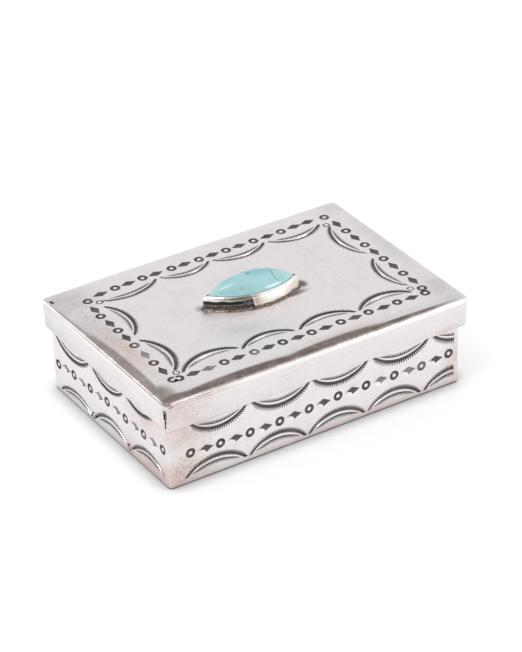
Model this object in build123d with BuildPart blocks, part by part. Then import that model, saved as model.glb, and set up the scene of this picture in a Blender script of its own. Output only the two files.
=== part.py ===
"""A small silver keepsake box with a slip lid and a marquise stone set in the lid.

Lengths are millimetres. The origin is the middle of the underside, +X runs along the long
side and +Z is up. The long wall on the -Y side is the front.

The box is a strip of sheet bent round four corners, soldered shut at one of them and then
soldered to a floor plate. The lid is a crowned plate on a second, lower strip that slips down
outside the wall, until the plate rests on the wall's top edge.
"""

from build123d import *
from math import sqrt
import os

# The box
box_length = 76.2
box_width = 50.8
box_height = 22.05
wall_sheet = 0.81
wall_inside_radius = 0.2
wall_edge_softness = 0.15
floor_sheet = 0.81
floor_edge_softness = 0.4
floor_solder_leg = 0.6
seam_gap = 0.14

# The slip lid
rim_drop = 6.45
rim_sheet = 0.64
rim_end_play = 0.15
rim_side_play = 0.7
rim_inside_radius = 0.4
rim_lean = 0.2
rim_solder_hollow = 0.08
plate_sheet = 0.81
plate_edge_thickness = 0.6
crown_rise = 0.75
crown_roll = 4.0
seat_margin = 0.4

# The stone's setting, on the middle of the lid
setting_x = -1.2
setting_y = -0.9
setting_turn = -8.6
bezel_point_length = 24.3
bezel_width = 9.2
bezel_tip_radius = 0.9
bezel_strip = 0.45
bezel_wall_height = 2.65
bezel_wall_lean = 0.2
bezel_lip_rise = 0.7
bezel_lip_lean = 0.6
bezel_solder_leg = 0.4
bedding_thickness = 0.6
stone_fit = 0.04
stone_girdle = 1.65
stone_dome = 4.45

# How far in the crown has climbed, and how high, each as a share of the whole
crown_inset_shares = (0, 0.15, 0.35, 0.62, 1)
crown_rise_shares = (0, 0.30, 0.62, 0.89, 1)
# Heights of the dome's sections, as shares of its rise
dome_height_shares = (0, 0.3, 0.55, 0.75, 0.88, 0.96)
# How much of the play beside the wall the lid's inside solder may take
lid_solder_share = 0.75

# What follows from the sizes above
wall_outside_radius = wall_inside_radius + wall_sheet
inside_length = box_length - 2 * wall_sheet
inside_width = box_width - 2 * wall_sheet
rim_outside_radius = rim_inside_radius + rim_sheet
rim_bottom = box_height - rim_drop
mouth_length = box_length + 2 * rim_end_play
mouth_width = box_width + 2 * rim_side_play
head_length = mouth_length + 2 * rim_lean
head_width = mouth_width + 2 * rim_lean
lid_length = head_length + 2 * rim_sheet
lid_width = head_width + 2 * rim_sheet
lid_edge_top = box_height + plate_edge_thickness
plateau = lid_edge_top + crown_rise
lid_solder_leg = lid_solder_share * (rim_end_play + rim_lean)
cut_overrun = wall_sheet

setting = Plane((setting_x, setting_y, plateau)).rotated((0, 0, setting_turn))
stone_bottom = bedding_thickness
girdle_top = stone_bottom + stone_girdle
bezel_top = bezel_wall_height + bezel_lip_rise
lean_at_stone_bottom = bezel_wall_lean * stone_bottom / bezel_wall_height
lean_at_girdle_top = bezel_wall_lean * girdle_top / bezel_wall_height
stone_inset = bezel_strip + stone_fit + lean_at_stone_bottom
dome_inset = bezel_strip + stone_fit + lean_at_girdle_top


def marquise(inset=0):
    """The plan of the setting: two arcs that meet in rounded points, drawn in by inset."""
    with BuildSketch(mode=Mode.PRIVATE) as plan:
        with BuildLine():
            front = ThreePointArc(
                (-bezel_point_length / 2, 0), (0, -bezel_width / 2), (bezel_point_length / 2, 0)
            )
            mirror(front, about=Plane.XZ)
        make_face()
        fillet(plan.vertices(), bezel_tip_radius)
        if inset:
            offset(amount=-inset, mode=Mode.REPLACE)
    return plan.sketch


# The wall is one strip. Its two ends meet at the back right corner, on the short side.
with BuildPart() as box_wall:
    with BuildSketch(Plane.XY.offset(floor_sheet)):
        RectangleRounded(box_length, box_width, wall_outside_radius)
        RectangleRounded(inside_length, inside_width, wall_inside_radius, mode=Mode.SUBTRACT)
    extrude(amount=box_height - floor_sheet)
    lip_edges = box_wall.faces().sort_by(Axis.Z)[-1].edges()
    fillet(lip_edges, min(wall_edge_softness, wall_sheet / 3))
    wall_seam_y = box_width / 2 - wall_outside_radius - seam_gap / 2
    with BuildSketch(Plane((box_length / 2, wall_seam_y, floor_sheet))):
        Rectangle(2 * (wall_sheet + cut_overrun), seam_gap)
    extrude(amount=box_height, mode=Mode.SUBTRACT)
box_wall.part.label = "box_wall"

# The seam between the strip's ends is filled flush, up to the wall's softened top edge.
with BuildPart() as wall_seam_solder:
    with BuildSketch(Plane((box_length / 2 - wall_sheet / 2, wall_seam_y, floor_sheet))):
        Rectangle(wall_sheet, seam_gap)
    extrude(amount=box_height - floor_sheet - wall_edge_softness)
wall_seam_solder.part.label = "wall_seam_solder"

# The floor plate is filed flush with the wall all round, and its lower edge is rubbed soft.
with BuildPart() as box_floor:
    with BuildSketch():
        RectangleRounded(box_length, box_width, wall_outside_radius)
    extrude(amount=floor_sheet)
    under_edges = box_floor.faces().sort_by(Axis.Z)[0].edges()
    fillet(under_edges, min(floor_edge_softness, floor_sheet / 2))
box_floor.part.label = "box_floor"

# Solder lies as a small slope in the corner between the floor and the wall.
with BuildPart() as floor_solder:
    with BuildSketch(Plane.XY.offset(floor_sheet)):
        RectangleRounded(inside_length, inside_width, wall_inside_radius)
    extrude(amount=floor_solder_leg)
    with BuildSketch(Plane.XY.offset(floor_sheet)):
        RectangleRounded(
            inside_length - 2 * floor_solder_leg, inside_width - 2 * floor_solder_leg, wall_inside_radius
        )
    with BuildSketch(Plane.XY.offset(floor_sheet + floor_solder_leg)):
        RectangleRounded(inside_length, inside_width, wall_inside_radius)
    loft(ruled=True, mode=Mode.SUBTRACT)
floor_solder.part.label = "floor_solder"

# The rim leans out a little from its mouth to the plate. Its ends meet at the front left corner.
with BuildPart() as lid_rim:
    with BuildSketch(Plane.XY.offset(rim_bottom)):
        RectangleRounded(
            mouth_length + 2 * rim_sheet, mouth_width + 2 * rim_sheet, rim_outside_radius
        )
    with BuildSketch(Plane.XY.offset(box_height)):
        RectangleRounded(lid_length, lid_width, rim_outside_radius)
    loft(ruled=True)
    with BuildSketch(Plane.XY.offset(rim_bottom)):
        RectangleRounded(mouth_length, mouth_width, rim_inside_radius)
    with BuildSketch(Plane.XY.offset(box_height)):
        RectangleRounded(head_length, head_width, rim_inside_radius)
    loft(ruled=True, mode=Mode.SUBTRACT)
    rim_seam_y = rim_outside_radius + seam_gap / 2 - lid_width / 2
    with BuildSketch(Plane((-head_length / 2, rim_seam_y, rim_bottom))):
        Rectangle(2 * (rim_sheet + cut_overrun), seam_gap)
    extrude(amount=rim_drop, mode=Mode.SUBTRACT)
lid_rim.part.label = "lid_rim"

# The solder in the rim's seam has sunk a little below the rim's outer face.
with BuildPart() as rim_seam_solder:
    with BuildSketch(Plane.XZ.offset(-rim_seam_y - seam_gap / 2)):
        with BuildLine():
            Polyline(
                (-mouth_length / 2, rim_bottom),
                (-head_length / 2, box_height),
                (rim_solder_hollow - lid_length / 2, box_height),
                (rim_solder_hollow + rim_lean - lid_length / 2, rim_bottom),
                close=True,
            )
        make_face()
    extrude(amount=seam_gap)
rim_seam_solder.part.label = "rim_seam_solder"

# The lid's plate: a level middle that rolls down to a thin edge, hollow under the crown.
with BuildPart() as lid_plate:
    with BuildSketch(Plane.XY.offset(box_height)):
        RectangleRounded(lid_length, lid_width, rim_outside_radius)
    extrude(amount=plate_edge_thickness)
    for inset_share, rise_share in zip(crown_inset_shares, crown_rise_shares):
        inset = inset_share * crown_roll
        with BuildSketch(Plane.XY.offset(lid_edge_top + rise_share * crown_rise)):
            RectangleRounded(lid_length - 2 * inset, lid_width - 2 * inset, rim_outside_radius)
    loft(ruled=True)
    with BuildSketch(Plane.XY.offset(box_height)):
        RectangleRounded(
            inside_length - 2 * seat_margin, inside_width - 2 * seat_margin, wall_inside_radius
        )
    with BuildSketch(Plane.XY.offset(plateau - plate_sheet)):
        RectangleRounded(
            lid_length - 2 * crown_roll, lid_width - 2 * crown_roll, wall_inside_radius
        )
    loft(ruled=True, mode=Mode.SUBTRACT)
lid_plate.part.label = "lid_plate"

# Inside the lid, solder lies in the corner between the plate and the rim, clear of the wall.
with BuildPart() as lid_solder:
    leg_lean = rim_lean * lid_solder_leg / rim_drop
    with BuildSketch(Plane.XY.offset(box_height - lid_solder_leg)):
        RectangleRounded(head_length - 2 * leg_lean, head_width - 2 * leg_lean, rim_inside_radius)
    with BuildSketch(Plane.XY.offset(box_height)):
        RectangleRounded(head_length, head_width, rim_inside_radius)
    loft(ruled=True)
    with BuildSketch(Plane.XY.offset(box_height - lid_solder_leg)):
        RectangleRounded(head_length - 2 * leg_lean, head_width - 2 * leg_lean, rim_inside_radius)
    with BuildSketch(Plane.XY.offset(box_height)):
        RectangleRounded(
            head_length - 2 * lid_solder_leg, head_width - 2 * lid_solder_leg, rim_inside_radius
        )
    loft(ruled=True, mode=Mode.SUBTRACT)
lid_solder.part.label = "lid_solder"

# A pad of card lifts the stone inside its setting.
with BuildPart() as stone_bedding:
    with BuildSketch(setting):
        add(marquise(stone_inset))
    extrude(amount=bedding_thickness)
stone_bedding.part.label = "stone_bedding"

# The cabochon: a girdle that leans in a little, and a dome whose every level is the same
# marquise, smaller.
with BuildPart() as stone:
    with BuildSketch(setting.offset(stone_bottom)):
        add(marquise(stone_inset))
    with BuildSketch(setting.offset(girdle_top)):
        add(marquise(dome_inset))
    loft(ruled=True)
    for height_share in dome_height_shares:
        with BuildSketch(setting.offset(girdle_top + height_share * stone_dome)):
            add(marquise(dome_inset))
            scale(by=sqrt(1 - height_share**2))
    loft()
stone.part.label = "stone"

# The bezel: a thin strip that leans in round the stone, its top edge rubbed down onto the dome.
with BuildPart() as bezel:
    with BuildSketch(setting):
        add(marquise())
    with BuildSketch(setting.offset(bezel_wall_height)):
        add(marquise(bezel_wall_lean))
    with BuildSketch(setting.offset(bezel_top)):
        add(marquise(bezel_wall_lean + bezel_lip_lean))
    loft(ruled=True)
    with BuildSketch(setting):
        add(marquise(bezel_strip))
    with BuildSketch(setting.offset(girdle_top)):
        add(marquise(bezel_strip + lean_at_girdle_top))
    loft(ruled=True, mode=Mode.SUBTRACT)
    add(stone.part, mode=Mode.SUBTRACT)
bezel.part.label = "bezel"

# Solder has run out round the foot of the bezel.
with BuildPart() as bezel_solder:
    with BuildSketch(setting):
        add(marquise(-bezel_solder_leg))
    with BuildSketch(setting.offset(bezel_solder_leg)):
        add(marquise())
    loft(ruled=True)
    with BuildSketch(setting):
        add(marquise())
    extrude(amount=bezel_solder_leg, mode=Mode.SUBTRACT)
bezel_solder.part.label = "bezel_solder"

pieces = (
    box_wall,
    box_floor,
    floor_solder,
    wall_seam_solder,
    lid_plate,
    lid_rim,
    lid_solder,
    rim_seam_solder,
    bezel,
    bezel_solder,
    stone,
    stone_bedding,
)
os.makedirs("parts", exist_ok=True)
for piece in pieces:
    export_step(piece.part, f"parts/{piece.part.label}.step")
    print(piece.part.label, round(piece.part.volume, 1), "cubic millimetres")
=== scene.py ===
from math import asin, atan2, copysign, cos, hypot, pi, radians, sin, sqrt
from random import Random

import bmesh
import bpy
from mathutils import Matrix, Vector, noise


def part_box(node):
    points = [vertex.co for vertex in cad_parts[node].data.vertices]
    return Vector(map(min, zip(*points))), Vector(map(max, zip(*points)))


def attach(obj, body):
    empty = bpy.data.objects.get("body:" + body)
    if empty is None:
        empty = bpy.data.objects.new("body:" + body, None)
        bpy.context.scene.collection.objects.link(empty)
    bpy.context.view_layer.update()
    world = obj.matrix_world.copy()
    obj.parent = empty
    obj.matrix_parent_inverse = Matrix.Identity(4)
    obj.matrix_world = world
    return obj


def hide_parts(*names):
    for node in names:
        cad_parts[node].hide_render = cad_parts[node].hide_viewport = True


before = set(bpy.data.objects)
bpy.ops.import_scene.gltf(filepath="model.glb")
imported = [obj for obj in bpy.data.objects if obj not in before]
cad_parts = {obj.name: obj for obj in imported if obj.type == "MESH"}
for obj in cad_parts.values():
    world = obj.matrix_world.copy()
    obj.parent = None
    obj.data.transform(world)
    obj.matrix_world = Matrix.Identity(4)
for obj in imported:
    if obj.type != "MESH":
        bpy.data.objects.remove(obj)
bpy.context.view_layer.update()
scene = bpy.context.scene
mm = 0.001  # shapes are worked out in millimetres and scaled to metres when a piece is finished


def span(node):  # lowest and highest corner of a CAD node, in millimetres
    low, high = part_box(node)
    return low / mm, high / mm


wallLow, wallHigh = span("box_wall")
rimLow, rimHigh = span("lid_rim")
plateLow, plateHigh = span("lid_plate")
wallSize = wallHigh - wallLow
lidSize = plateHigh - plateLow
lidTop = plateHigh.z
print("frame loaded, lid top at", round(lidTop, 2), "mm")


def paint(hexCode):  # an sRGB hex value as linear RGBA
    parts = [int(hexCode[i:i + 2], 16) / 255 for i in (1, 3, 5)]
    return [p / 12.92 if p <= 0.04045 else ((p + 0.055) / 1.055) ** 2.4 for p in parts] + [1]


def add(tree, kind, settings=None, inputs=None, links=None):  # one node with its settings, values and links
    made = tree.nodes.new("ShaderNode" + kind)
    for name, value in (settings or {}).items():
        setattr(made, name, value)
    for name, value in (inputs or {}).items():
        made.inputs[name].default_value = value
    for name, socket in (links or {}).items():
        tree.links.new(socket, made.inputs[name])
    return made


def emptyTree(owner):
    owner.use_nodes = True
    owner.node_tree.nodes.clear()
    return owner.node_tree


def newMaterial(name):  # an empty material with its surface shader
    made = bpy.data.materials.new(name)
    tree = emptyTree(made)
    shader = add(tree, "BsdfPrincipled")
    add(tree, "OutputMaterial", links={"Surface": shader.outputs[0]})
    return made, tree, shader


def here(tree):  # the point in its object's own coordinates, in metres
    return add(tree, "TexCoord").outputs["Object"]


def axes(socket):
    return add(socket.id_data, "SeparateXYZ", links={"Vector": socket}).outputs


def grain(tree, size, detail=3, rough=0.55, warp=0, stretch=(1, 1, 1)):  # noise in patches size mm wide
    place = add(tree, "Mapping", inputs={"Scale": stretch}, links={"Vector": here(tree)}).outputs[0]
    made = add(tree, "TexNoise", {"noise_dimensions": "3D"},
               {"Scale": 1 / (size * mm), "Detail": detail, "Roughness": rough, "Distortion": warp},
               {"Vector": place})
    return made.outputs["Fac"]


def ramp(value, low, high, start=0, end=1, curve="SMOOTHSTEP"):  # low to high becomes start to end
    return add(value.id_data, "MapRange", {"interpolation_type": curve},
               {"From Min": low, "From Max": high, "To Min": start, "To Max": end},
               {"Value": value}).outputs[0]


def grade(value, low, high, start=0, end=1):  # the same for a length, with low and high in mm
    return ramp(value, low * mm, high * mm, start, end)


def vector(operation, socket, constant=(0, 0, 0)):  # a VectorMath node on a socket and a constant
    made = add(socket.id_data, "VectorMath", {"operation": operation}, {1: constant}, {0: socket})
    return made.outputs["Value" if operation in ("LENGTH", "DOT_PRODUCT") else "Vector"]


def blob(place, centre, reach, power=1, edge=1):  # a patch in mm, fading to 0 over its outer share edge
    moved = vector("SUBTRACT", place, [c * mm for c in centre])
    shrunk = vector("DIVIDE", moved, [r * mm for r in reach])
    return ramp(vector("LENGTH", shrunk), 1 - edge, 1, power, 0)


def fill(node, values):  # sets inputs by number, each to a socket, a number or a colour
    for number, value in values.items():
        if isinstance(value, str):
            node.inputs[number].default_value = paint(value)
        elif isinstance(value, (int, float)):
            node.inputs[number].default_value = value
        else:
            node.id_data.links.new(value, node.inputs[number])


def combine(operation, one, other, clamp=True):  # a Math node on a socket and another one or a number
    made = add(one.id_data, "Math", {"operation": operation, "use_clamp": clamp})
    fill(made, {0: one, 1: other})
    return made.outputs[0]


def times(one, other):
    return combine("MULTIPLY", one, other, False)


def most(values):  # the highest of several masks
    total = values[0]
    for value in values[1:]:
        total = combine("MAXIMUM", total, value)
    return total


def tint(mask, under, over):  # a colour laid over another by a mask
    made = add(mask.id_data, "Mix", {"data_type": "RGBA"})
    fill(made, {0: mask, 6: under, 7: over})
    return made.outputs[2]


def surface(shader, colour, metal, rough, layers):  # layers are heights and depths in mm
    normal = None
    for height, depth in layers:
        links = {"Height": height}
        if normal:
            links["Normal"] = normal
        normal = add(colour.id_data, "Bump", None, {"Strength": 1, "Distance": depth * mm}, links).outputs[0]
    fill(shader, {"Base Color": colour, "Metallic": metal, "Roughness": rough, "Normal": normal})


lidSkew = {"slope": -0.01, "shift": -0.15}  # the lid is out of square: along y, per mm of x and in mm

silverLook = {
    "clean": "#F6F2F3", "film": "#E6E0E1", "salmon": "#DAC3BA", "brown": "#7C6F6B", "dusk": "#8B7E7A",
    "grey": "#BBB5B5", "strip": "#A8A19E", "seam": "#A5826F", "smudge": "#6A5D59", "rubbed": "#FFFEFC",
    "speckled": "#7F7673", "rimShadow": "#A8938B", "grimeAndShade": "#6F6765", "pit": "#7A7070",
    "satin": 0.4, "roughness": 0.3,
    # the stains, painted shades and painted highlights in the order they lie, each with the share that shows
    # even where it is worn
    "keeps": {"grey": 0.5, "salmon": 0.35, "strip": 0.7, "rubbed": 0.8, "brown": 0.8, "dusk": 0.7,
              "seam": 0.4, "smudge": 0.6, "speckled": 1},
    # the rolled edge's tarnish and painted dark reflection start this far in from the edge and above the
    # plate's underside
    "rollStart": 0.3, "rollLow": 0.42, "duskLow": 0.05,
    # how far down the wall the painted shadow under the lid reaches, and the height of the grime and painted
    # shade at its foot
    "rimShade": 1.8, "footGrimeAndShade": 0.7,
    # matt where the torch soldered the bezel on
    "heatedSpot": ((-3, -4, 23.4), (17, 9, 2), 0.42, 0.6),
    # centre, reach, strength and softness, in mm: warm fire stain low on the walls and at the front corner
    "salmonSpots": [((-36, -26, 2), (14, 8, 9), 1, 1), ((-38, -18, 1), (6, 24, 6), 0.9, 1),
        ((-33, -26, 13), (12, 6, 6), 0.9, 1), ((-39, -17, 13), (4, 15, 5), 0.7, 1),
        ((10, -26, 0), (46, 4, 3.5), 0.7, 1), ((38, -25, 5), (6, 8, 12), 0.8, 1),
        ((-36, -27, 19), (12, 4, 7), 0.6, 1), ((34, -26, 15.5), (7, 4, 2.5), 0.7, 1),
        ((0, 26, 2), (34, 6, 6), 0.6, 1), ((39, 8, 3), (5, 20, 7), 0.6, 1),
        ((6, -24.6, 23), (20, 2.2, 2), 0.5, 1), ((-35, -5, 23), (3.8, 19, 2), 0.9, 1)],
    # the rolled edges of the lid, where the polish never reached: tarnish with a painted dark reflection
    "brownSpots": [((-20, -26.3, 22.9), (19.5, 2.1, 2), 1, 0.35),
        ((-36.5, -26.3, 22.9), (9, 1.9, 2), 0.9, 0.4), ((4, -26.3, 22.9), (17.5, 1.95, 2), 0.95, 0.35),
        ((12, -26.3, 22.9), (28, 0.85, 2), 1, 0.4)],
    # the left rolled edge and its corner, the same: tarnish with a painted dark reflection
    "duskSpots": [((-37.4, -23.4, 23), (3.7, 4.7, 3), 0.85, 0.6),
        ((-39.1, -12.5, 22.4), (2.9, 26, 3), 0.85, 0.3), ((-39.1, 5, 22.4), (1.1, 22, 3), 0.6, 0.5)],
    # painted shade on the bevel along the front edge
    "stripSpots": [((0, -27, 22.62), (40, 0.68, 0.34), 1, 0.3)],
    # the top of the lid's side, rubbed bright with a painted highlight along it, and smudges with painted
    # shade where the bezel meets the lid
    "rubbedSpots": [((8, -27, 21.85), (46, 1, 0.6), 0.95, 0.35),
        ((-39.1, -2, 21.55), (1, 33, 0.6), 0.9, 0.6), ((8, 27, 22.1), (46, 1, 0.42), 0.6, 0.7),
        ((39.1, -2, 22.1), (1, 33, 0.42), 0.6, 0.7)],
    # painted shade round the bezel's foot, with smudges
    "smudgeSpots": [((11.2, -1.7, 23.4), (2.2, 2.4, 2), 0.95, 0.7),
        ((7.6, -4.5, 23.4), (5.2, 1.5, 2), 0.85, 0.8), ((-12.9, 1.5, 23.4), (1.7, 2.4, 2), 0.75, 1),
        ((-12.6, -0.2, 23.4), (1.5, 1.6, 2), 0.6, 1), ((1.5, -5.4, 23.4), (4, 1.0, 2), 0.5, 1)],
    # thin brown lines under the front edge, where the seam between plate and rim was filed
    "seamSpots": [((-31, -27, 22.15), (13, 0.9, 0.22), 0.9, 0.6),
        ((-29, -27, 21.55), (12, 0.9, 0.18), 0.7, 0.6), ((-34, -27, 20.9), (7, 0.9, 0.16), 0.5, 0.6),
        ((-37.4, -27, 21.7), (1.0, 0.9, 0.5), 1, 0.6)],
    "greySpots": [((-36, 22, 22.8), (12, 9, 3), 0.6, 1), ((-36, 8, 22.8), (6, 12, 3), 0.5, 1),
        ((37, -20, 22.8), (8, 10, 3), 0.6, 1), ((-34, -22, 22.8), (7, 6, 3), 0.3, 1),
        ((37, 4, 22.8), (4, 26, 3), 0.4, 1), ((36, 24, 22.8), (8, 6, 3), 0.3, 1),
        ((-1, -2, 23.2), (15, 7, 2), 0.1, 1)],
    # where fine dark specks crowd: the lid's left edge, the walls' corners and the rim's front corner
    "speckledSpots": [((-35.5, 16, 23), (5, 12, 3), 1, 1), ((-35, 0, 23), (4, 12, 3), 0.7, 1),
        ((-34, -26, 5), (6, 4, 7), 0.9, 1), ((-39, 22, 6), (4, 6, 8), 0.7, 1),
        ((-33, -27, 19.5), (8, 3, 4), 0.5, 1), ((35, -26, 6), (6, 4, 8), 0.4, 1)],
}


# Sterling silver sheet, hand finished to a satin shine: near white, softly mottled, with warm stain
# it also carries painted shade, painted dark reflections and painted highlights on the lid's edges, under the
# lid, at the foot and round the bezel
def sterlingSilver(look):
    made, tree, shader = newMaterial("sterlingSilver")
    cloud = ramp(grain(tree, 6, 4, 0.6, 0.4), 0.38, 0.7, 0.25, 1)
    film = times(cloud, ramp(grain(tree, 0.8, 5, 0.75), 0.36, 0.7))
    satin = ramp(grain(tree, 0.34, 2, 0.6), 0.42, 0.62, 0, look["satin"])  # left by a fine abrasive
    colour = tint(satin, tint(film, look["clean"], look["film"]), look["film"])

    along = add(tree, "Mapping", inputs={"Location": (0, -lidSkew["shift"] * mm, 0),
                                         "Rotation": (0, 0, -lidSkew["slope"])},
                links={"Vector": here(tree)}).outputs[0]  # the stains follow the lid's skew
    apart = axes(along)

    def above(socket, level, soft=0.06):  # 0 below a level and 1 above it, in mm
        return grade(socket, level - soft, level + soft)

    onRoll = above(apart[2], plateLow.z + look["rollLow"])
    masks = {"brown": times(onRoll, above(apart[1], plateLow.y + look["rollStart"])),
             "dusk": above(apart[2], plateLow.z + look["duskLow"], 0.12),
             "speckled": ramp(grain(tree, 0.42, 3, 0.65), 0.53, 0.65, 0, 0.75)}
    ragged = ramp(grain(tree, 3.2, 6, 0.7, 0.6), 0.3, 0.62)
    for name, keep in look["keeps"].items():
        layerMask = most([blob(along, *spot) for spot in look[name + "Spots"]])
        if name in masks:
            layerMask = times(layerMask, masks[name])
        layerMask = times(layerMask, ramp(ragged, 0, 1, keep, 1, "LINEAR"))
        colour = tint(layerMask, colour, look[name])

    # painted shadow on the wall under the lid's rim
    rimShadow = times(grade(apart[2], rimLow.z - look["rimShade"], rimLow.z - 0.1, 0, 0.6),
                     grade(apart[2], rimLow.z - 0.03, rimLow.z + 0.01, 1, 0))
    colour = tint(times(rimShadow, ramp(ragged, 0, 1, 0.4, 1)), colour, look["rimShadow"])
    # darker towards the bottom edge: grime and painted contact shade
    grimeAndShade = times(grade(apart[2], 0.1, look["footGrimeAndShade"], 0.8, 0),
                  grade(apart[2], 0.01, 0.08, 0.3, 1))  # less of it on the underside itself
    colour = tint(times(grimeAndShade, ramp(ragged, 0, 1, 0.6, 1)), colour, look["grimeAndShade"])
    pits = times(ramp(grain(tree, 0.55, 2, 0.5), 0.735, 0.79),
                 ramp(grain(tree, 7, 2, 0.5), 0.48, 0.6))  # 0.2 mm wide, few and far between
    colour = tint(times(pits, 0.7), colour, look["pit"])

    rough = ramp(film, 0, 1, look["roughness"], look["roughness"] + 0.1, "LINEAR")
    for more in (times(ragged, 0.05), blob(along, *look["heatedSpot"])):
        rough = combine("ADD", rough, more)
    satinMarks = grain(tree, 0.35, 4, 0.7)
    scratches = grain(tree, 0.5, 3, 0.6, 0, (0.12, 1, 1))  # rubbing marks along the length, 0.5 mm apart
    surface(shader, colour, 1, rough,
            [(grain(tree, 9, 2, 0.5), 0.05), (satinMarks, 0.006), (scratches, 0.006), (pits, -0.03)])
    return made


# Plainer surfaces. Patches are noise (size in mm, detail, roughness, warp), the levels where it starts and
# ends, and its strength; specks are colour, noise and levels; relief is noise and depth in mm
plainLooks = {
    # the unpolished inside of the sheet: matt, grey white, with fire stain and file marks
    "insideSilver": {"colours": ("#CFCBC9", "#A39A97"), "patches": ((11, 4, 0.6, 0.8), (0.45, 0.62), 0.8),
                     "specks": ("#8A817D", (0.8, 4, 0.7), (0.45, 0.7)), "metal": 1, "roughness": (0.42, 0.55),
                     "relief": [((7, 2), 0.06), ((0.3, 4, 0.7), 0.012)]},
    # silver blackened with liver of sulphur: matt charcoal, uneven where the polishing cloth reached in
    "oxidisedSilver": {"colours": ("#544C4F", "#6E6567"), "patches": ((2.4, 4, 0.6), (0.35, 0.7), 1),
                       "specks": ("#9A9493", (0.25, 3, 0.6), (0.5, 0.75)), "metal": 0.55, "roughness": 0.5,
                       "relief": [((0.2, 3, 0.6), 0.01)]},
    # the same where the cloth took most of it off again
    "wornOxide": {"colours": ("#7A7274", "#A8A2A2"), "patches": ((2.4, 4, 0.6), (0.35, 0.7), 1),
                  "specks": ("#9A9493", (0.25, 3, 0.6), (0.5, 0.75)), "metal": 0.8, "roughness": 0.42,
                  "relief": [((0.2, 3, 0.6), 0.01)]},
    # high spots of the stamping and the diamonds' lit flanks: rubbed bright by the polishing cloth, and a
    # painted highlight
    "rubbedHighlightSilver": {"colours": ("#F2EEEC", "#CFC9C9"), "patches": ((0.9, 3, 0.6), (0.45, 0.75), 1),
                     "metal": 1, "roughness": 0.3, "relief": [((0.3, 3, 0.6), 0.004)]},
    # silver solder, flooded and darkened: grey brown and lumpy
    "solderSilver": {"colours": ("#65574F", "#92847B"), "patches": ((0.7, 4, 0.6, 0.5), (0.35, 0.65), 1),
                     "metal": 1, "roughness": 0.42, "relief": [((0.5, 4, 0.6), 0.05)]},
    # plain card: buff and fibrous
    "card": {"colours": ("#B59F7E", "#8F7A5C"), "patches": ((0.8, 5, 0.7), (0, 1, 0, 1, "LINEAR"), 1),
             "metal": 0, "roughness": 0.9, "relief": [((0.5, 4, 0.7), 0.03)]},
}


def plainSurface(name):
    look = plainLooks[name]
    made, tree, shader = newMaterial(name)
    noiseValues, levels, strength = look["patches"]
    patch = ramp(grain(tree, *noiseValues), *levels)
    colour = tint(times(patch, strength), *look["colours"])
    if "specks" in look:
        speckColour, noiseValues, levels = look["specks"]
        specks = ramp(grain(tree, *noiseValues), *levels, 0, 0.35)
        colour = tint(specks, colour, speckColour)
    rough = look["roughness"]
    if isinstance(rough, tuple):
        rough = ramp(patch, 0, 1, *rough, "LINEAR")
    surface(shader, colour, look["metal"], rough,
            [(grain(tree, *noiseValues), depth) for noiseValues, depth in look["relief"]])
    return made


settingPlace = {"x": -1.2, "y": -0.9, "turn": -8.6}
settingShape = {"pointLength": 24.3, "width": 9.2, "tip": 0.9, "strip": 0.45, "wall": 2.65, "wallLean": 0.2,
                "lipRise": 0.7, "lipLean": 0.6, "stoneBottom": 0.6, "girdle": 1.65, "dome": 4.5,
                "domeSteps": 15, "stoneFit": 0.04, "tipRounding": 2.4, "solderLeg": 0.45, "solderWave": 1.1,
                "solderRun": (0.012, 0.05, 0.5),
                # the lip's section, in and up: its bend from the wall's top, its edge from the lip's
                "lipBend": [(0.04, -0.1), (0.14, 0.15), (0.3, 0.38)],
                "lipEdge": [(-0.12, -0.12), (-0.04, -0.05), (0, -0.06), (-0.02, -0.14)]}


def inSetting(tree):  # coordinates centred on the stone and turned with it, in metres
    centre = [value * mm for value in (settingPlace["x"], settingPlace["y"], lidTop)]
    moved = vector("SUBTRACT", here(tree), centre)
    turned = add(tree, "VectorRotate", {"rotation_type": "Z_AXIS"}, {"Angle": -radians(settingPlace["turn"])},
                 {"Vector": moved})
    return turned.outputs[0]


bezelLook = {"bright": "#FBF6F0", "dull": "#E9DFD6", "patinaAndReflection": "#3C3637", "warm": "#CDBDA9",
             "foot": "#6A5B53", "lip": "#A69A92", "streak": "#978A81", "low": "#7A6B62", "cool": "#767A80",
             "roughness": 0.24, "seamAt": -0.95, "seamLean": 0.17}


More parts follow.
